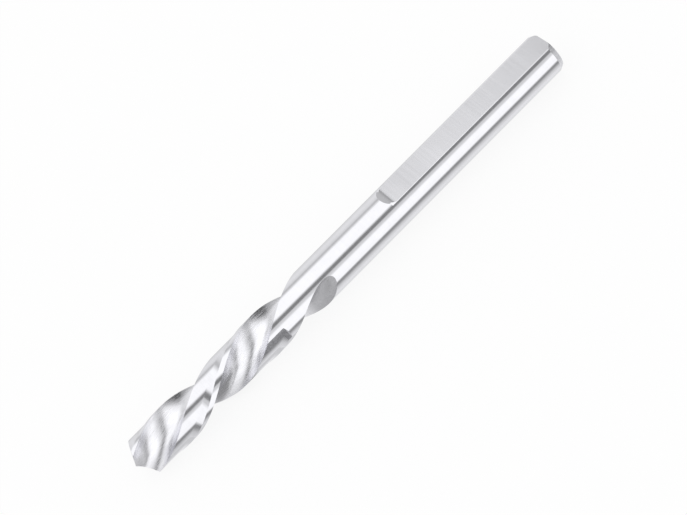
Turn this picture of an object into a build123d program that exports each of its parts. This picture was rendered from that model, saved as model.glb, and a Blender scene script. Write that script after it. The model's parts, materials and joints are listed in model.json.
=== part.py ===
from build123d import *
import os
from math import acos, atan, atan2, ceil, cos, degrees, hypot, pi, radians, sin, sqrt, tan

# Pilot drill for the middle of a hole saw, ground from one bar of high speed steel. Millimetres, degrees.
# It is drawn standing on the end of its shank, point up, and laid down at the end. In the finished frame
# its axis is +X towards the point, the end of the shank is at X = 0, and the flat faces +Z.

# Bar
drill_diameter = 6.35  # at the point
shank_diameter = 6.32  # the fluted body tapers back to this, so that it runs free in the hole it cuts
overall_length = 78.9
chamfer_length = 0.75
chamfer_angle = 26.0  # from the axis
seam_angle = 37.5  # where the turned surface closes on itself, to one side of the flat

# Spiral and flutes. Heights are counted from the end of the shank.
spiral_hand = -1  # -1 is a left-hand spiral, 1 a right-hand one
helix_angle = 30.8  # at the full diameter
flute_position = -5.2  # from the first lip to the flat, in the cutting direction
flute_opening = 109.5  # the flute's width at the tip, as an angle about the axis
web_thickness = 1.1  # at the tip
web_growth = 0.039  # gain of web thickness for each unit of length towards the shank
flute_feed_end = 48.8  # from here the flute wheel is lifted out as it feeds on
runout_radius = 15.0  # of the path along which it is lifted

# Body clearance behind each margin
margin_width = 0.6  # the strip left at full diameter, measured round the surface
clearance_depth = 0.2
clearance_end = 51.8  # the square shoulder where the clearance wheel stops
clearance_straight_feed = 0.87  # the wheel's last feed, along the axis without turning
clearance_wheel_width = 6.0
clearance_wheel_corner = 0.3  # the radius that the wheel's worn corner leaves at the shoulder

# Point: each flank is part of a cone, whose apex stands off the drill's axis
point_angle = 130.0
point_cone_setback = 3.0  # behind the axis, along the lip
point_cone_lead = 2.4  # ahead of the axis, in the cutting direction
point_cone_tilt = 4.0

# Flat for the grub screw of the arbor
flat_depth = 0.6
flat_length = 31.0
flat_cutter_radius = 2.7

# Cutters
over = 1.0  # how far each one reaches past the bar
past_heel = 12.0  # how far the clearance runs on into the flute, as an angle about the axis
section_turn = 10.0  # most turn from one section of the flute to the next
face_points = 8  # spans of the curve along the flute's cutting face

# Worked out from the sizes above
radius = drill_diameter / 2
shank_radius = shank_diameter / 2
web_radius = web_thickness / 2
cleared_radius = radius - clearance_depth
outside = radius + over
above_tip = overall_length + over
turn_per_mm = 360.0 * tan(radians(helix_angle)) / (pi * drill_diameter)
lip_slope = tan(radians(point_angle / 2))
lip_reach = sqrt(radius**2 - web_radius**2)
drift = web_growth / 2
depth_at_feed_end = outside - web_radius - drift * (overall_length - flute_feed_end)
path_to_surface = sqrt(2 * runout_radius * depth_at_feed_end - depth_at_feed_end**2)
body_start = flute_feed_end - path_to_surface * cos(radians(helix_angle))  # below this is plain shank


def at(distance, angle):
    """A point by its distance from the axis and its angle from the first lip, in the cutting direction."""
    turned = radians(180.0 + spiral_hand * (angle - flute_position))
    return Vector(distance * cos(turned), distance * sin(turned))


def spiral_angle(height):
    """How far the spiral has turned at a height, counted from the tip."""
    return turn_per_mm * (height - overall_length)


def face_angle(along):
    """Angle of the flute's cutting face at a distance along the lip. This face gives a straight lip."""
    return degrees(atan2(web_radius, along)) + turn_per_mm * along / lip_slope


corner = face_angle(lip_reach)  # the cutting corner of the first land
flute_middle = corner + flute_opening / 2
heel = corner + flute_opening - 180.0
margin_edge = corner - degrees(margin_width / radius)
clearance_tangent = margin_edge - degrees(acos(cleared_radius / radius))


def flute_section(height):
    """Outline of one flute: the cutting face down to the web, then a round gullet up to the heel."""
    turn = spiral_angle(height)
    reach = sqrt(outside**2 - web_radius**2)
    face = []
    for point in range(face_points + 1):
        along = reach * (1 - point / face_points)
        face.append(at(hypot(web_radius, along), face_angle(along) + turn))

    to_heel = cos(radians(corner + flute_opening - 90.0))
    gullet_radius = (radius**2 + web_radius**2 - 2 * radius * web_radius * to_heel) / (
        2 * (radius * to_heel - web_radius)
    )
    to_centre = web_radius + gullet_radius
    swing = degrees(acos((outside**2 + to_centre**2 - gullet_radius**2) / (2 * outside * to_centre)))
    centre = at(to_centre, 90.0 + turn)
    root = face[-1]
    rim = at(outside, 90.0 + swing + turn)
    across = ((root - centre).normalized() + (rim - centre).normalized()).normalized()
    outline = [
        Edge.make_spline(face),
        Edge.make_three_point_arc(root, centre + across * gullet_radius, rim),
        Edge.make_three_point_arc(rim, (rim + face[0]).normalized() * outside, face[0]),
    ]
    return Wire(outline).moved(Location((0, 0, height)))


def flute_cutter():
    """One flute. It turns with the spiral, drifts outward as the web grows, and leaves along an arc."""
    steps = ceil((above_tip - body_start) * turn_per_mm / section_turn)
    sections = []
    for step in range(steps + 1):
        height = body_start + (above_tip - body_start) * step / steps
        along_path = max(0.0, flute_feed_end - height) / cos(radians(helix_angle))
        lift = runout_radius - sqrt(runout_radius**2 - along_path**2)
        outward = at(drift * (overall_length - height) + lift, flute_middle + spiral_angle(height))
        sections.append(flute_section(height).moved(Location(outward)))
    return Solid.make_loft(sections)


def clearance_section(height):
    """Outline of what is ground off a land: straight down from the margin, then round to past the heel."""
    turn = spiral_angle(height)
    tangent = clearance_tangent + turn
    end = heel - past_heel + turn
    rim = tangent + degrees(acos(cleared_radius / outside))
    outline = [
        Edge.make_line(at(outside, rim), at(cleared_radius, tangent)),
        Edge.make_three_point_arc(
            at(cleared_radius, tangent), at(cleared_radius, (tangent + end) / 2), at(cleared_radius, end)
        ),
        Edge.make_line(at(cleared_radius, end), at(outside, end)),
        Edge.make_three_point_arc(at(outside, end), at(outside, (end + rim) / 2), at(outside, rim)),
    ]
    return Wire(outline).moved(Location((0, 0, height)))


def clearance_cutters():
    """One land's clearance: the spiral, less what the stopped wheel never reached, and its last flat."""
    turned_end = clearance_end + clearance_straight_feed
    rise = above_tip - turned_end
    spiral = Solid.extrude_linear_with_rotation(
        clearance_section(turned_end), (0, 0, turned_end), (0, 0, rise), spiral_hand * turn_per_mm * rise
    )
    tangent = clearance_tangent + spiral_angle(turned_end)
    touch = at(cleared_radius, tangent) + Vector(0, 0, clearance_end)
    wheel = Plane(origin=touch, x_dir=at(1.0, tangent), z_dir=(0, 0, 1))
    upward = (Align.CENTER, Align.CENTER, Align.MIN)
    to_heel = Pos(0, -spiral_hand * outside, 0)
    unreached = Box(2 * outside, 2 * outside, clearance_wheel_width, align=upward)
    full_width = Box(2 * outside, 4 * outside, clearance_straight_feed, align=upward)
    flat = Pos(outside, 0, 0) * (full_width + to_heel * unreached)
    lower_corner = flat.edges().filter_by(Axis.Y).group_by(Axis.Z)[0].sort_by(Axis.X)[0]
    flat = fillet(lower_corner, clearance_wheel_corner)
    return [spiral - wheel * to_heel * unreached, wheel * flat]


def flank_cone():
    """The cone that the first flank is part of, with the metal on its inside. It passes through the tip."""
    skew = atan2(point_cone_lead - web_radius, point_cone_setback + lip_reach)
    half_cone = atan(lip_slope * cos(skew))
    tilt = radians(point_cone_tilt)
    apex_off = hypot(point_cone_setback, point_cone_lead)

    # The apex is as far above the tip as the larger root of a * rise**2 - 2 * b * rise + c = 0
    a = cos(tilt) ** 2 - cos(half_cone) ** 2
    b = point_cone_lead * sin(tilt) * cos(tilt)
    c = (point_cone_lead * sin(tilt)) ** 2 - (apex_off * cos(half_cone)) ** 2
    rise = (b + sqrt(b**2 - a * c)) / a

    apex = at(-point_cone_setback, 0.0) + at(point_cone_lead, 90.0) + Vector(0, 0, overall_length + rise)
    down = at(sin(tilt), 90.0) - Vector(0, 0, cos(tilt))
    height = overall_length + 2 * rise + over
    base = Plane(origin=apex + down * height, z_dir=down * -1.0)
    return Solid.make_cone(height * tan(half_cone), 0.0, height, base)


def flat_cutter():
    """What is cut off for the flat, seen from the side, with the cutter's own radius at its front end."""
    floor = shank_radius - flat_depth
    rise = outside - floor
    arc_start = flat_length - sqrt(2 * flat_cutter_radius * flat_depth - flat_depth**2)
    arc_end = arc_start + sqrt(2 * flat_cutter_radius * rise - rise**2)
    swing = degrees(acos(1 - rise / flat_cutter_radius))
    side = [
        Line((-outside, arc_end), (-outside, -over)),
        Line((-outside, -over), (-floor, -over)),
        Line((-floor, -over), (-floor, arc_start)),
        JernArc((-floor, arc_start), (0, 1), flat_cutter_radius, swing),
    ]
    return extrude(Plane.XZ * make_face(side), outside, both=True)


chamfer_width = chamfer_length * tan(radians(chamfer_angle))
half_bar = Polyline(
    (0, 0),
    (shank_radius - chamfer_width, 0),
    (shank_radius, chamfer_length),
    (shank_radius, body_start),
    (radius, above_tip),
    (0, above_tip),
    close=True,
)
drill = revolve(Plane.XZ * make_face(half_bar), Axis.Z).rotate(Axis.Z, seam_angle)

for cutter in [*clearance_cutters(), flute_cutter()]:
    for half_turn in (0, 180):
        drill = drill - cutter.rotate(Axis.Z, half_turn)
flank = flank_cone()
drill = drill & flank & flank.rotate(Axis.Z, 180)
drill = drill - flat_cutter()
drill = drill.rotate(Axis.Y, 90)

os.makedirs("parts", exist_ok=True)
export_step(drill, "parts/centre_drill.step")
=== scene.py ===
import json
from math import acos, atan, atan2, ceil, cos, hypot, pi, radians, sin, sqrt, tan

import bmesh
import bpy
from mathutils import Matrix, Vector


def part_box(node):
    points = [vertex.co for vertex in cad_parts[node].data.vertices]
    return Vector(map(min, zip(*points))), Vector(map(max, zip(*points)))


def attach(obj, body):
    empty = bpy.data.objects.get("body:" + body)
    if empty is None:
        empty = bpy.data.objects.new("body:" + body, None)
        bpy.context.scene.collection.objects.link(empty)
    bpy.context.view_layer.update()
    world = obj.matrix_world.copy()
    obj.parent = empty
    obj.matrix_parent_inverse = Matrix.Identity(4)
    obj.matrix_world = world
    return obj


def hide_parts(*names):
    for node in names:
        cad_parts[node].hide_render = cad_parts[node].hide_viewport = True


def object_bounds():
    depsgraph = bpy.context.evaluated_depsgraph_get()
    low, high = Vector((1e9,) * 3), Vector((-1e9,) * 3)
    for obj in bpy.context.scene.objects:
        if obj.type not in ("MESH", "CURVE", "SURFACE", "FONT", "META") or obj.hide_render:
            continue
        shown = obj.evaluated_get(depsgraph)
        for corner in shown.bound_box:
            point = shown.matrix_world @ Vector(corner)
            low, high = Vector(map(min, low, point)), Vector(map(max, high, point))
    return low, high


# Pilot drill for the middle of a hole saw. Its axis is X with the point at the far end, the end of the shank
# is at X = 0, and the flat faces up. It is ground here from one bar in the order in which a real drill is.
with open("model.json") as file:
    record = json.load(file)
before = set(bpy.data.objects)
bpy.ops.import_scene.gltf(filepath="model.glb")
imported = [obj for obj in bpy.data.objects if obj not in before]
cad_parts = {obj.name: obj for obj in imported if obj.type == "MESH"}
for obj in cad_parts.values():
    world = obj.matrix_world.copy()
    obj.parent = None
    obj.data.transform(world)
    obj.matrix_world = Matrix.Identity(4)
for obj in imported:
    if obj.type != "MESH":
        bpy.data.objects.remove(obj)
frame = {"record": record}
cad_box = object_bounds()
mm = 0.001


# The camera stands beside the drill and looks down on it. The point is at the lower left of the picture, and
# the shank runs up to the right.
camera_height = radians(52.4)  # above the horizon, seen from the drill
shank_nearer = radians(2.2)  # the turn that brings the end of the shank a little towards the camera
picture_slope = radians(45.136)  # of the drill's axis in the picture
aim_along = 39.66 * mm  # the place on the drill's axis in the middle of the picture
aim_below = 0.14 * mm  # how far that middle is below the axis
camera_distance = 155.5 * mm
nearest_seen = 1 * mm
lens_length = 60.37  # this and the width of the film are in millimetres
film_width = 36.0

side = Vector((0, cos(camera_height), sin(camera_height)))
down_picture = Vector((0, sin(camera_height), -cos(camera_height)))
to_shank = Vector((-cos(shank_nearer), 0, 0)) + side * sin(shank_nearer)
back = Vector((sin(shank_nearer), 0, 0)) + side * cos(shank_nearer)
right = to_shank * cos(picture_slope) + down_picture * sin(picture_slope)
up = to_shank * sin(picture_slope) - down_picture * cos(picture_slope)

camera = bpy.data.objects.new("camera", bpy.data.cameras.new("camera"))
bpy.context.scene.collection.objects.link(camera)
camera.data.lens = lens_length
camera.data.sensor_width = film_width
camera.data.clip_start = nearest_seen
aim = Vector((aim_along, 0, 0)) + down_picture * aim_below
stand = Matrix.Translation(aim + back * camera_distance)
camera.matrix_world = stand @ Matrix((right, up, back)).transposed().to_4x4()
bpy.context.scene.camera = camera


# The light tent, in a plain white world. A white half round stands over the drill along its whole length,
# bright on both sides, and the camera looks in through the dark gap between them, which leans a little across
# the drill. Only the metal sees the tent, and it shows the sides as white bands and the gap as a dark line.
world = bpy.data.worlds.new("white studio")
bpy.context.scene.world = world
world.use_nodes = True
world.node_tree.nodes["Background"].inputs["Color"].default_value = (1, 1, 1, 1)

tent_radius = 500 * mm
tent_length = 2000 * mm  # each way from the drill
tent_segments = 64  # of each panel
tent_lean = 0.33  # the slope of the gap across the drill
brightest = 1.3  # where the scale of each table of brightness ends


def brightness_along(nodes, links, place, table):
    """A brightness that follows a table of places and values. Returns the socket that holds it."""
    start, end = table[0][0], table[-1][0]
    share = nodes.new("ShaderNodeMapRange")
    share.inputs["From Min"].default_value = start
    share.inputs["From Max"].default_value = end
    links.new(place, share.inputs["Value"])
    curve = nodes.new("ShaderNodeFloatCurve")
    points = curve.mapping.curves[0].points
    for number, (spot, value) in enumerate(table):
        where = ((spot - start) / (end - start), value / brightest)
        if 0 < number < len(table) - 1:
            points.new(*where)
        else:
            points[-1 if number else 0].location = where
    for point in points:
        point.handle_type = "VECTOR"
    curve.mapping.update()
    links.new(share.outputs["Result"], curve.inputs["Value"])
    return curve.outputs["Value"]


def operation(nodes, links, kind, *values):
    """One step of arithmetic on sockets and numbers. Returns its socket."""
    step = nodes.new("ShaderNodeMath")
    step.operation = kind
    for socket, value in zip(step.inputs, values):
        if isinstance(value, bpy.types.NodeSocket):
            links.new(value, socket)
        else:
            socket.default_value = value
    return step.outputs["Value"]


def times(nodes, links, one, other):
    """The product of two sockets or numbers. Returns its socket."""
    return operation(nodes, links, "MULTIPLY", one, other)


def in_metres(table):
    """A table whose places are given in millimetres, with its places in metres."""
    return [(place * mm, value) for place, value in table]


def card(name, bm, across, along, middle=None, slant=0.0, least=()):
    """A part of the studio that only the metal sees, with its brightness across the drill and along it.
    Across is the angle from the middle one, where that is given, and otherwise the distance from the drill.
    The brightness along the drill shifts by the slant for each radian of that angle, and where the least
    brightness along the drill is given, nothing is darker than that."""
    material = bpy.data.materials.new(name)
    material.use_nodes = True
    material.cycles.emission_sampling = "NONE"
    nodes, links = material.node_tree.nodes, material.node_tree.links
    nodes.clear()
    here = nodes.new("ShaderNodeTexCoord")
    turn = nodes.new("ShaderNodeMapping")
    links.new(here.outputs["Object"], turn.inputs["Vector"])
    parts = nodes.new("ShaderNodeSeparateXYZ")
    links.new(turn.outputs["Vector"], parts.inputs["Vector"])
    place, distance = parts.outputs["Y"], parts.outputs["X"]
    if middle is not None:
        turn.inputs["Rotation"].default_value = (-middle, 0, 0)
        angle = operation(nodes, links, "ARCTAN2", parts.outputs["Z"], parts.outputs["Y"])
        lean = operation(nodes, links, "ARCTANGENT", times(nodes, links, distance, tent_lean / tent_radius))
        place = operation(nodes, links, "SUBTRACT", angle, lean)
        distance = operation(nodes, links, "SUBTRACT", distance, times(nodes, links, angle, slant))
    level = times(
        nodes,
        links,
        brightness_along(nodes, links, place, across),
        brightness_along(nodes, links, distance, along),
    )
    if least:
        lowest = times(nodes, links, brightness_along(nodes, links, distance, least), 1 / brightest)
        level = operation(nodes, links, "MAXIMUM", level, lowest)
    light = nodes.new("ShaderNodeEmission")
    links.new(times(nodes, links, level, brightest * brightest), light.inputs["Strength"])
    out = nodes.new("ShaderNodeOutputMaterial")
    links.new(light.outputs["Emission"], out.inputs["Surface"])
    mesh = bpy.data.meshes.new(name)
    bm.to_mesh(mesh)
    bm.free()
    mesh.materials.append(material)
    made = bpy.data.objects.new(name, mesh)
    bpy.context.scene.collection.objects.link(made)
    made.visible_camera = False
    made.visible_diffuse = False


# The half round: its brightness by the angle round the drill, counted in degrees from the lower side of the
# picture.
half_round = (
    (30, 1.28),
    (61, 1.28),
    (67, 0.95),
    (70, 0.83),
    (78, 0.80),
    (81, 0.5),
    (83, 0.28),
    (93.5, 0.28),
    (96.5, 0.5),
    (100.5, 0.9),
    (104.5, 1.25),
    (109, 1.28),
    (156, 1.28),
    (165, 0.88),
    (172, 0.62),
    (177, 0.66),
    (184, 0.85),
    (200, 0.95),
    (218, 0.95),
)

# Its panels: each one's first and last angle, its brightness along the drill from the end past the shank to
# the end past the point, how far this shifts along the drill for each radian round it, and its least
# brightness, with places in millimetres. Past the shank the top goes dark, the two sides go dimmer, and the
# least brightness fills part of the gap.
past_point = ((400, 1.0), (560, 0.78), (1000, 0.6), (2000, 0.6))
front_along = ((-2000, 0.4), (-600, 0.36), (-510, 0.9), (-200, 1.0), *past_point)
top_along = ((-2000, 0.1), (-340, 0.06), (-225, 1.0), *past_point)
flat_along = ((-2000, 0.7), (-280, 0.6), (-185, 0.55), (-153, 1.2), (-75, 1.18), (-35, 1.0), *past_point)
gap_filled = ((-2000, 0.0), (-640, 0.0), (-540, 0.6), (-300, 0.6), (-150, 0.26), (-110, 0.0), (2000, 0.0))
panels = {
    "front": (30, 90, front_along, 0, gap_filled),
    "top": (90, 162, top_along, 350, ()),
    "back": (162, 218, flat_along, 0, ()),
}
for name, (first, last, along, slant, least) in panels.items():
    first, last = radians(first), radians(last)
    bm = bmesh.new()
    ends = [bm.verts.new((x, tent_radius, 0)) for x in (-tent_length, tent_length)]
    bmesh.ops.rotate(bm, verts=bm.verts, matrix=Matrix.Rotation(first + camera_height - pi / 2, 3, "X"))
    edge = bm.edges.new(ends)
    bmesh.ops.spin(
        bm,
        geom=ends + [edge],
        cent=(0, 0, 0),
        axis=(1, 0, 0),
        angle=last - first,
        steps=tent_segments,
    )
    middle = (first + last) / 2
    across = [(radians(angle) - middle, value) for angle, value in half_round]
    middle_turn = middle + camera_height - pi / 2
    card("tent_" + name, bm, across, in_metres(along), middle_turn, slant * mm, in_metres(least))

# Cards on the floor: a dark strip close in front of the drill with a bright one beyond it, dim ones under
# the shank and the flutes, and a dim one behind with a dark band at its near side. The dim ones under the
# shank and the flutes are painted shadow, which puts the drill's shadow on the floor back into the metal's
# reflections, and the painted shadow under the flutes is darker below the second flute. The dark band of the
# one behind is a painted shadow along the drill. The one under the flutes and the dark strip are dimmer past
# the point. Each has its two ends along the drill, its brightness across it and its brightness along it, with
# places in millimetres.
above_floor = 0.02 * mm
even = ((-2000, 1.0), (2000, 1.0))
point_dims = ((-2000, 1.0), (77, 1.0), (80, 0.6), (2000, 0.6))
front_ramp = (
    (4.5, 0.92),
    (6, 0.78),
    (7.5, 0.52),
    (9, 0.34),
    (11, 0.34),
    (12.5, 0.5),
    (15, 0.95),
    (17.5, 1.25),
)
flute_ramp = ((-2.4, 0.92), (2.4, 0.92), (3.1, 0.76), (4.4, 0.74))
# Along the card under the flutes: a deeper painted shadow below the second flute, and less light past the
# point
flute_shadow_dips = ((50, 1.0), (58.5, 1.0), (60.2, 0.32), (66, 0.32), (67.5, 1.0), (76, 1.0), (80, 0.6), (84, 0.6))
back_ramp = (
    (-480, 0.88),
    (-22, 0.88),
    (-14, 0.74),
    (-8, 0.74),
    (-6, 0.72),
    # From here to -3.6 mm a painted shadow along the drill, seen only in the metal
    (-5.4, 0.36),
    (-3.6, 0.36),
    (-3.3, 0.7),
)
strips = {
    "dark_strip": (-2000, 2000, front_ramp, point_dims),
    "bright_strip": (-2000, 2000, ((17.5, 1.25), (480, 1.28)), even),
    # The shank and flute shades are painted shadow under the drill, seen only in the metal
    "shank_shade": (-2000, 50, ((-3.2, 0.88), (3.2, 0.88)), even),
    "flute_shade": (50, 84, flute_ramp, flute_shadow_dips),
    "dim_strip": (-2000, 2000, back_ramp, even),
}
for name, (start, end, across, along) in strips.items():
    low, high = across[0][0], across[-1][0]
    bm = bmesh.new()
    bmesh.ops.create_grid(bm, size=0.5)  # half the side of a unit square
    bmesh.ops.scale(bm, verts=bm.verts, vec=((end - start) * mm, (high - low) * mm, 1))
    centre = Vector(((start + end) / 2, (low + high) / 2, 0)) * mm
    bmesh.ops.translate(bm, verts=bm.verts, vec=centre + Vector((0, 0, cad_box[0].z + above_floor)))
    card(name, bm, in_metres(across), in_metres(along))

# The floor is white paper. To the camera and in the metal most of its white is a glow of its own, and the
# rest keeps a soft shadow under the drill.
floor_glow = 0.85
paper_white = 0.95
bm = bmesh.new()
bmesh.ops.create_grid(bm, size=tent_length)
bmesh.ops.translate(bm, verts=bm.verts, vec=(0, 0, cad_box[0].z))
floor_mesh = bpy.data.meshes.new("floor")
bm.to_mesh(floor_mesh)
bm.free()
floor = bpy.data.objects.new("floor", floor_mesh)
bpy.context.scene.collection.objects.link(floor)
paper = bpy.data.materials.new("white paper")
paper.use_nodes = True
nodes, links = paper.node_tree.nodes, paper.node_tree.links
nodes.clear()
lit = nodes.new("ShaderNodeBsdfDiffuse")
lit.inputs["Color"].default_value = (paper_white, paper_white, paper_white, 1)
glow = nodes.new("ShaderNodeEmission")
ray = nodes.new("ShaderNodeLightPath")
seen = ray.outputs["Is Camera Ray"]
for kind in ("Is Glossy Ray", "Is Transmission Ray"):
    seen = operation(nodes, links, "MAXIMUM", seen, ray.outputs[kind])
both = nodes.new("ShaderNodeMixShader")
links.new(times(nodes, links, seen, floor_glow), both.inputs["Fac"])
links.new(lit.outputs["BSDF"], both.inputs[1])
links.new(glow.outputs["Emission"], both.inputs[2])
paper_out = nodes.new("ShaderNodeOutputMaterial")
links.new(both.outputs["Shader"], paper_out.inputs["Surface"])
floor.data.materials.append(paper)


# The bar: a round of high speed steel, turned, hardened and ground between wheels to a bright shank. Its rear
# end is chamfered, and its body tapers back from the point to the shank by a few hundredths. From here to the
# end of the grinding every size is in millimetres, and the finished drill is brought down to metres.
mounts = {mount["name"]: mount for mount in frame["record"]["mounts"]}
overall_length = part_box("centre_drill")[1].x / mm
shank_radius = mounts["shank"]["dims"]["r_mm"]
drill_diameter = 6.35  # at the point
radius = drill_diameter / 2
chamfer_length = 0.75
chamfer_angle = radians(26.0)  # from the axis
body_start = 41.026  # where the lifted flute wheel leaves the bar. Below this is plain shank
over = 1.0  # how far the bar is left long, and how far each cutter reaches past it
above_tip = overall_length + over
round_steps = 360
same_place = 0.001  # points closer than this are one point


def new_object(name, bm, material):
    """Puts a closed bmesh on an object of that name, facing outwards, with one material."""
    bmesh.ops.recalc_face_normals(bm, faces=bm.faces)
    for face in bm.faces:
        face.smooth = True
    mesh = bpy.data.meshes.new(name)
    bm.to_mesh(mesh)
    bm.free()
    mesh.materials.append(material)
    made = bpy.data.objects.new(name, mesh)
    bpy.context.scene.collection.objects.link(made)
    return made


def line_of(bm, points):
    """Vertices at these points, joined in a row. Returns the vertices."""
    verts = [bm.verts.new(point) for point in points]
    for one, other in zip(verts, verts[1:]):
        bm.edges.new((one, other))
    return verts


# What a grinding wheel leaves on steel: fine lines, and broad patches where it cut a little harder.
line_detail = 3.0
patch_detail = 4.0
finer_layers = 0.6  # the strength of each finer layer of the pattern against the one before it
wheel_marks = bpy.data.node_groups.new("wheel marks", "ShaderNodeTree")
for socket in ("Place", "Marks per Metre", "Patches per Metre"):
    wheel_marks.interface.new_socket(socket, in_out="INPUT", socket_type="NodeSocketVector")
for socket in ("Lines", "Patches"):
    wheel_marks.interface.new_socket(socket, in_out="OUTPUT", socket_type="NodeSocketFloat")
given = wheel_marks.nodes.new("NodeGroupInput")
result = wheel_marks.nodes.new("NodeGroupOutput")
for density, output, detail in (
    ("Marks per Metre", "Lines", line_detail),
    ("Patches per Metre", "Patches", patch_detail),
):
    scaled = wheel_marks.nodes.new("ShaderNodeVectorMath")
    scaled.operation = "MULTIPLY"
    wheel_marks.links.new(given.outputs["Place"], scaled.inputs[0])
    wheel_marks.links.new(given.outputs[density], scaled.inputs[1])
    noise = wheel_marks.nodes.new("ShaderNodeTexNoise")
    noise.inputs["Scale"].default_value = 1.0
    noise.inputs["Detail"].default_value = detail
    noise.inputs["Roughness"].default_value = finer_layers
    wheel_marks.links.new(scaled.outputs["Vector"], noise.inputs["Vector"])
    wheel_marks.links.new(noise.outputs["Fac"], result.inputs[output])


def between(nodes, links, share, low, high, start=0.3, end=0.7):
    """A value that goes from low to high as the share goes from start to end. Where these two aren't given,
    they are the usual ends of the wheel marks' range. Returns its socket."""
    span = nodes.new("ShaderNodeMapRange")
    span.inputs["From Min"].default_value = start
    span.inputs["From Max"].default_value = end
    span.inputs["To Min"].default_value = low
    span.inputs["To Max"].default_value = high
    links.new(share, span.inputs["Value"])
    return span.outputs["Result"]


def steel(name, colour, streak, patch, roughness, marks, patches, depth, place=None, worn=None):
    """Bare steel as a wheel leaves it. The colour varies by the streak and patch shares, the roughness goes
    from its first value to its second from line to line, and the lines are as deep as given, in millimetres.
    The marks and patches are counted for each millimetre along X and across it. The place function may turn
    the pattern to the surface, and the worn function may shade and roughen a part of it."""
    material = bpy.data.materials.new(name)
    material.use_nodes = True
    nodes, links = material.node_tree.nodes, material.node_tree.links
    shader = nodes["Principled BSDF"]
    shader.inputs["Metallic"].default_value = 1.0
    coords = nodes.new("ShaderNodeTexCoord").outputs["Object"]
    pattern = nodes.new("ShaderNodeGroup")
    pattern.node_tree = wheel_marks
    links.new(place(nodes, links, coords) if place else coords, pattern.inputs["Place"])
    for socket, (along, across) in (("Marks per Metre", marks), ("Patches per Metre", patches)):
        pattern.inputs[socket].default_value = (along / mm, across / mm, across / mm)
    lines, spots = pattern.outputs["Lines"], pattern.outputs["Patches"]
    shade = times(
        nodes,
        links,
        between(nodes, links, lines, 1.0 - streak, 1.0 + streak),
        between(nodes, links, spots, 1.0 - patch, 1.0 + patch),
    )
    gloss = between(nodes, links, lines, *roughness)
    if worn:
        shade, gloss = worn(nodes, links, coords, shade, gloss)
    tint = nodes.new("ShaderNodeVectorMath")
    tint.operation = "SCALE"
    tint.inputs[0].default_value = colour
    links.new(shade, tint.inputs["Scale"])
    links.new(tint.outputs["Vector"], shader.inputs["Base Color"])
    links.new(gloss, shader.inputs["Roughness"])
    bump = nodes.new("ShaderNodeBump")
    bump.inputs["Distance"].default_value = depth * mm
    links.new(lines, bump.inputs["Height"])
    links.new(bump.outputs["Normal"], shader.inputs["Normal"])
    return material


def ring_place(nodes, links, coords):
    """Lines that run round the drill, on its end face as well as on its sides."""
    parts = nodes.new("ShaderNodeSeparateXYZ")
    links.new(coords, parts.inputs["Vector"])
    spoke = nodes.new("ShaderNodeVectorMath")
    spoke.operation = "MULTIPLY"
    spoke.inputs[1].default_value = (0, 1, 1)
    links.new(coords, spoke.inputs[0])
    reach = nodes.new("ShaderNodeVectorMath")
    reach.operation = "LENGTH"
    links.new(spoke.outputs["Vector"], reach.inputs[0])
    turned = nodes.new("ShaderNodeCombineXYZ")
    links.new(operation(nodes, links, "ADD", parts.outputs["X"], reach.outputs["Value"]), turned.inputs["X"])
    links.new(parts.outputs["Y"], turned.inputs["Y"])
    links.new(parts.outputs["Z"], turned.inputs["Z"])
    return turned.outputs["Vector"]


bright = steel(
    "bright ground shank",
    colour=(0.76, 0.76, 0.79),
    streak=0.015,
    patch=0.02,
    roughness=(0.07, 0.12),
    marks=(2.2, 0.25),
    patches=(0.5, 0.9),
    depth=0.003,
)
turned_end = steel(
    "turned rear end",
    colour=(0.75, 0.75, 0.78),
    streak=0.07,
    patch=0.08,
    roughness=(0.34, 0.5),
    marks=(9, 0.3),
    patches=(1.5, 1.5),
    depth=0.003,
    place=ring_place,
)

bm = bmesh.new()
half_bar = (
    (0, 0, 0),
    (0, 0, shank_radius - chamfer_length * tan(chamfer_angle)),
    (chamfer_length, 0, shank_radius),
    (body_start, 0, shank_radius),
    (above_tip, 0, radius),
    (above_tip, 0, 0),
)
line_of(bm, half_bar)
bmesh.ops.spin(
    bm,
    geom=bm.verts[:] + bm.edges[:],
    cent=(0, 0, 0),
    axis=(1, 0, 0),
    angle=2 * pi,
    steps=round_steps,
    use_merge=True,
)
bmesh.ops.remove_doubles(bm, verts=bm.verts, dist=same_place)
drill = new_object("pilot_drill", bm, bright)
drill.data.materials.append(turned_end)
end_slot = drill.data.materials.find(turned_end.name)
for face in drill.data.polygons:
    if face.center.x < chamfer_length:
        face.material_index = end_slot


# Body clearance: behind a narrow margin each land is ground two tenths lower by a wheel that follows the
# spiral. The wheel stops at a square shoulder, where its last feed leaves a small flat.
spiral_hand = -1  # -1 is a left-hand spiral
helix_angle = radians(30.8)  # at the full diameter
flute_position = radians(-5.2)  # from the first lip to the flat, in the cutting direction
flute_opening = radians(109.5)  # the flute's width at the tip, as an angle about the axis
web_thickness = 1.1  # at the tip
margin_width = 0.6  # the strip left at full diameter, measured round the surface
clearance_depth = 0.2
clearance_end = 51.8  # the square shoulder
clearance_straight_feed = 0.87  # the wheel's last feed, along the axis without turning
clearance_wheel_width = 6.0
clearance_wheel_corner = 0.3
past_heel = radians(12.0)  # how far the clearance runs on into the flute
point_angle = radians(130.0)
spiral_step = radians(2.0)  # most turn from one section to the next
clearance_spans = 60  # along the ground surface of the section
rim_spans = 30  # along its side outside the bar
corner_segments = 8

outside = radius + over
web_radius = web_thickness / 2
cleared_radius = radius - clearance_depth
point_slope = tan(point_angle / 2)
turn_rate = tan(helix_angle) / radius
lip_reach = sqrt(radius**2 - web_radius**2)


def face_angle(along):
    """Angle of the flute's cutting face at a distance along the lip. This face gives a straight lip."""
    return atan2(web_radius, along) + turn_rate * along / point_slope


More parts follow.
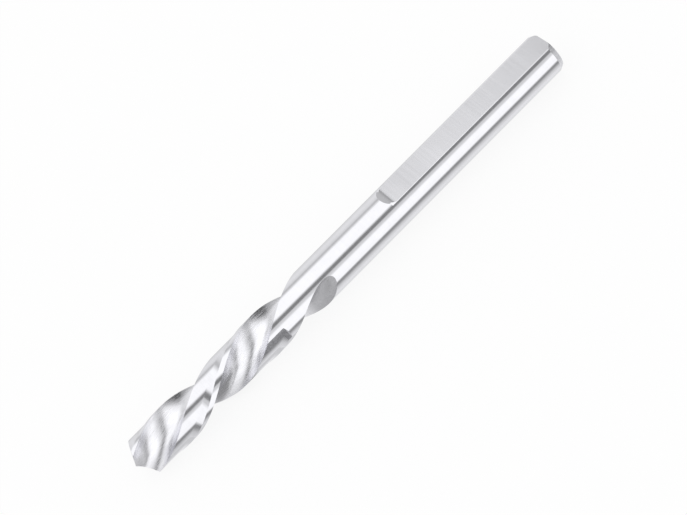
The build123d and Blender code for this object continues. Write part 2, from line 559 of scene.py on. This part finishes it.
corner = face_angle(lip_reach)  # the cutting corner of the first land
heel = corner + flute_opening - pi
margin_edge = corner - margin_width / radius
clearance_tangent = margin_edge - acos(cleared_radius / radius)
clearance_rim = clearance_tangent + acos(cleared_radius / outside)
clearance_heel = heel - past_heel
clearance_start = clearance_end + clearance_straight_feed


def grind(cutter, how="DIFFERENCE", piece=drill):
    """Takes off the piece what is inside the cutter, or with INTERSECT what is outside it. The new surface
    keeps the cutter's own finish."""
    cut = piece.modifiers.new(cutter.name, "BOOLEAN")
    cut.operation = how
    cut.solver = "MANIFOLD"
    cut.material_mode = "TRANSFER"
    cut.object = cutter
    bpy.context.view_layer.objects.active = piece
    bpy.ops.object.modifier_apply(modifier=cut.name)
    bpy.data.objects.remove(cutter)


def at(distance, angle):
    """A point by its distance from the axis and its angle from the first lip, in the cutting direction."""
    return Matrix.Rotation(spiral_hand * (angle - flute_position), 3, "X") @ Vector((0, 0, distance))


def screw(height):
    """Carries a section from the tip to its place on the spiral at a height."""
    turn = spiral_hand * turn_rate * (height - overall_length)
    return Matrix.Translation((height, 0, 0)) @ Matrix.Rotation(turn, 4, "X")


def sweep(bm, places):
    """Extrudes the closed outline in the bmesh from one place to the next and closes both ends."""
    bmesh.ops.transform(bm, matrix=places[0], verts=bm.verts)
    edges = bm.edges[:]
    for before, after in zip(places, places[1:]):
        grown = bmesh.ops.extrude_edge_only(bm, edges=edges)["geom"]
        ring = [part for part in grown if isinstance(part, bmesh.types.BMVert)]
        edges = [part for part in grown if isinstance(part, bmesh.types.BMEdge)]
        bmesh.ops.transform(bm, matrix=after @ before.inverted(), verts=ring)
    bmesh.ops.holes_fill(bm, edges=bm.edges, sides=0)


def evenly(start, end, count):
    """Evenly spaced values from one to another, both included."""
    return [start + (end - start) * number / count for number in range(count + 1)]


def closed_line(bm, points):
    """Vertices at these points, joined in a ring."""
    verts = line_of(bm, points)
    bm.edges.new((verts[-1], verts[0]))


def block(size, centre):
    """A block of this size, whose centre is off the origin by these shares of it. Returns its bmesh."""
    bm = bmesh.new()
    bmesh.ops.create_cube(bm, size=1)
    bmesh.ops.translate(bm, verts=bm.verts, vec=centre)
    bmesh.ops.scale(bm, verts=bm.verts, vec=size)
    return bm


cleared = steel(
    "cleared land",
    colour=(0.75, 0.75, 0.78),
    streak=0.03,
    patch=0.03,
    roughness=(0.1, 0.17),
    marks=(7, 0.5),
    patches=(0.6, 1.0),
    depth=0.0008,
)
last_feed = steel(
    "last feed",
    colour=(0.57, 0.57, 0.6),
    streak=0.1,
    patch=0.14,
    roughness=(0.12, 0.2),
    marks=(5, 3),
    patches=(2.2, 2.2),
    depth=0.0025,
)

cleared_angles = evenly(clearance_tangent, clearance_heel, clearance_spans)
outside_angles = evenly(clearance_heel, clearance_rim, rim_spans)
clearance_outline = [at(cleared_radius, angle) for angle in cleared_angles]
clearance_outline += [at(outside, angle) for angle in outside_angles]
steps = ceil(turn_rate * (above_tip - clearance_start) / spiral_step)
heights = evenly(clearance_start, above_tip, steps)
for half_turn in (0, pi):
    land_turn = Matrix.Rotation(half_turn, 4, "X")
    bm = bmesh.new()
    closed_line(bm, clearance_outline)
    sweep(bm, [land_turn @ screw(height) for height in heights])
    spiral = new_object("clearance", bm, cleared)

    wheel_turn = (land_turn @ screw(clearance_start)).to_3x3()
    outward = wheel_turn @ at(1, clearance_tangent)
    sideways = wheel_turn @ at(1, clearance_tangent - pi / 2)
    wheel = Matrix((outward, sideways, Vector((1, 0, 0)))).transposed().to_4x4()
    wheel.translation = outward * cleared_radius + Vector((clearance_end, 0, 0))

    # The stopped wheel never reached this part of the spiral
    bm = block((2 * outside, 2 * outside, clearance_wheel_width), (0, 0.5, 0.5))
    bmesh.ops.transform(bm, matrix=wheel, verts=bm.verts)
    grind(new_object("unreached", bm, cleared), piece=spiral)
    grind(spiral)

    # The last feed, with the round of the wheel's worn corner at the shoulder
    bm = block((outside, 2 * outside, clearance_wheel_width), (0.5, 0, 0.5))
    at_corner = {vert for vert in bm.verts if vert.co.x < same_place and vert.co.z < same_place}
    bmesh.ops.bevel(
        bm,
        geom=[edge for edge in bm.edges if at_corner.issuperset(edge.verts)],
        offset=clearance_wheel_corner,
        affect="EDGES",
        segments=corner_segments,
        profile=0.5,
        material=-1,
    )
    bmesh.ops.transform(bm, matrix=wheel, verts=bm.verts)
    grind(new_object("last feed", bm, last_feed))


# Flutes: two spiral gullets, ground by a shaped wheel that feeds back from the tip while the web between them
# grows. Past the flutes the wheel is lifted out along an arc, which leaves an oval run-out.
web_growth = 0.039  # gain of web thickness for each millimetre towards the shank
flute_feed_end = 48.8  # from here the wheel is lifted out as it feeds on
runout_radius = 15.0  # of the path along which it is lifted
face_spans = 16
gullet_spans = 40
flute_rim_spans = 12  # outside the bar
duller_from = 49.2  # from here towards the shank the finish goes duller
dullest_from = 46.8  # from here on it stays so
duller_shade = 0.62
duller_roughness = 1.55

web_drift = web_growth / 2
flute_middle = corner + flute_opening / 2


def spiral_place(nodes, links, coords):
    """Turns the pattern back by the spiral, so that its X runs along the flute."""
    parts = nodes.new("ShaderNodeSeparateXYZ")
    links.new(coords, parts.inputs["Vector"])
    unwound = nodes.new("ShaderNodeVectorRotate")
    unwound.rotation_type = "X_AXIS"
    links.new(coords, unwound.inputs["Vector"])
    links.new(times(nodes, links, parts.outputs["X"], -spiral_hand * turn_rate / mm), unwound.inputs["Angle"])
    return unwound.outputs["Vector"]


def lifted_wheel(nodes, links, coords, shade, gloss):
    """Where the wheel is lifted out, the flute is duller and rougher."""
    parts = nodes.new("ShaderNodeSeparateXYZ")
    links.new(coords, parts.inputs["Vector"])
    start, end = duller_from * mm, dullest_from * mm
    darker = between(nodes, links, parts.outputs["X"], 1.0, duller_shade, start, end)
    rougher = between(nodes, links, parts.outputs["X"], 1.0, duller_roughness, start, end)
    return times(nodes, links, shade, darker), times(nodes, links, gloss, rougher)


satin = steel(
    "satin flute",
    colour=(0.82, 0.82, 0.85),
    streak=0.02,
    patch=0.07,
    roughness=(0.14, 0.44),
    marks=(0.4, 14),
    patches=(0.3, 0.7),
    depth=0.0008,
    place=spiral_place,
    worn=lifted_wheel,
)


def flute_outline():
    """Outline of the wheel at the tip: the cutting face down to the web, then a round gullet to the heel."""
    reach = sqrt(outside**2 - web_radius**2)
    outline = [at(hypot(web_radius, along), face_angle(along)) for along in evenly(reach, 0, face_spans)]
    root = outline[-1]

    to_heel = cos(corner + flute_opening - pi / 2)
    gullet_radius = (radius**2 + web_radius**2 - 2 * radius * web_radius * to_heel) / (
        2 * (radius * to_heel - web_radius)
    )
    to_centre = web_radius + gullet_radius
    swing = acos((outside**2 + to_centre**2 - gullet_radius**2) / (2 * outside * to_centre))
    centre = at(to_centre, pi / 2)
    rim_angle = pi / 2 + swing
    gullet_angle = (root - centre).angle(at(outside, rim_angle) - centre)
    for turn in evenly(0, gullet_angle, gullet_spans)[1:]:
        outline.append(centre + Matrix.Rotation(-spiral_hand * turn, 3, "X") @ (root - centre))

    for angle in evenly(rim_angle, face_angle(reach), flute_rim_spans)[1:-1]:
        outline.append(at(outside, angle))
    return outline


steps = ceil(turn_rate * (above_tip - body_start) / spiral_step)
for half_turn in (0, pi):
    flute_turn = Matrix.Rotation(half_turn, 4, "X")
    places = []
    for height in evenly(body_start, above_tip, steps):
        along_path = max(0, flute_feed_end - height) / cos(helix_angle)
        lift = runout_radius - sqrt(runout_radius**2 - along_path**2)
        outward = at(web_drift * (overall_length - height) + lift, flute_middle)
        places.append(flute_turn @ screw(height) @ Matrix.Translation(outward))
    bm = bmesh.new()
    closed_line(bm, flute_outline())
    sweep(bm, places)
    grind(new_object("flute", bm, satin))


# Point: two flanks at the tip, each ground as part of a cone. The cone's apex stands off the drill's axis, so
# that the heel falls away behind the lip.
point_cone_setback = 3.0  # behind the axis, along the lip
point_cone_lead = 2.4  # ahead of the axis, in the cutting direction
point_cone_tilt = radians(4.0)
cone_steps = 720
flank_finish = steel(
    "ground point",
    colour=(0.74, 0.74, 0.765),
    streak=0.05,
    patch=0.06,
    roughness=(0.1, 0.17),
    marks=(2, 8),
    patches=(1, 1),
    depth=0.001,
)

skew = atan2(point_cone_lead - web_radius, point_cone_setback + lip_reach)
half_cone = atan(point_slope * cos(skew))
apex_off = hypot(point_cone_setback, point_cone_lead)

# The apex is as far above the tip as the larger root of a * rise**2 - 2 * b * rise + c = 0
a = cos(point_cone_tilt) ** 2 - cos(half_cone) ** 2
b = point_cone_lead * sin(point_cone_tilt) * cos(point_cone_tilt)
c = (point_cone_lead * sin(point_cone_tilt)) ** 2 - (apex_off * cos(half_cone)) ** 2
rise = (b + sqrt(b**2 - a * c)) / a

tip = Vector((overall_length, 0, 0))
apex = tip + Vector((rise, 0, 0)) - at(point_cone_setback, 0) + at(point_cone_lead, pi / 2)
down = at(sin(point_cone_tilt), pi / 2) - Vector((cos(point_cone_tilt), 0, 0))
cone_height = overall_length + 2 * rise + over
cone_turn = (-down).to_track_quat("Z", "Y").to_matrix().to_4x4()
cone_place = Matrix.Translation(apex + down * cone_height / 2) @ cone_turn
for half_turn in (0, pi):
    bm = bmesh.new()
    bmesh.ops.create_cone(
        bm,
        cap_ends=True,
        segments=cone_steps,
        radius1=cone_height * tan(half_cone),
        radius2=0,
        depth=cone_height,
    )
    bmesh.ops.transform(bm, matrix=Matrix.Rotation(half_turn, 4, "X") @ cone_place, verts=bm.verts)
    grind(new_object("flank", bm, flank_finish), "INTERSECT")


# Flat on the shank, for the grub screw of the arbor. A wheel feeds along it from the rear end and leaves its
# own round at the front, with its scratches across the drill.
flat_height = mounts["shank_flat"]["pos_m"][2] / mm
flat_length = 31.0
flat_cutter_radius = 2.7
flat_round_spans = 24
crossed = steel(
    "cross ground flat",
    colour=(0.83, 0.83, 0.86),
    streak=0.05,
    patch=0.03,
    roughness=(0.11, 0.17),
    marks=(2.2, 0.05),
    patches=(0.4, 0.1),
    depth=0.0002,
)

flat_depth = shank_radius - flat_height
round_start = flat_length - sqrt(2 * flat_cutter_radius * flat_depth - flat_depth**2)
round_swing = acos(1 - (outside - flat_height) / flat_cutter_radius)
profile = [(-over, 0, outside), (-over, 0, flat_height)]
for turn in evenly(0, round_swing, flat_round_spans):
    forward, climb = sin(turn), 1 - cos(turn)
    profile.append((round_start + flat_cutter_radius * forward, 0, flat_height + flat_cutter_radius * climb))
bm = bmesh.new()
closed_line(bm, profile)
sweep(bm, [Matrix.Translation((0, y, 0)) for y in (-outside, outside)])
grind(new_object("flat", bm, crossed))

# The two long edges of the flat are stoned, which leaves a narrow bright line.
stoned_width = 0.08
flat_half_width = sqrt(shank_radius**2 - flat_height**2)
for way in (-1, 1):
    edge = Vector((0, way * flat_half_width, flat_height))
    outward = (edge.normalized() + Vector((0, 0, 1))).normalized()
    stoned_depth = stoned_width / 2 * tan(edge.angle(Vector((0, 0, 1))) / 2)
    stone = Matrix((Vector((1, 0, 0)), outward.cross(Vector((1, 0, 0))), outward)).transposed().to_4x4()
    stone.translation = edge - outward * stoned_depth - Vector((over, 0, 0))
    bm = block((round_start + 2 * over, over, over), (0.5, 0, 0.5))
    bmesh.ops.transform(bm, matrix=stone, verts=bm.verts)
    grind(new_object("stone", bm, bright))


# The finished drill is one piece. It is brought down to metres, its ground edges stay sharp, and it takes the
# place of the plain solid.
sharp_from = radians(12)  # the least turn at a sharp edge
drill.data.transform(Matrix.Scale(mm, 4))
drill.data.set_sharp_from_angle(angle=sharp_from)
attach(drill, "root")
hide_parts("centre_drill")

bpy.context.scene.view_settings.view_transform = "Standard"
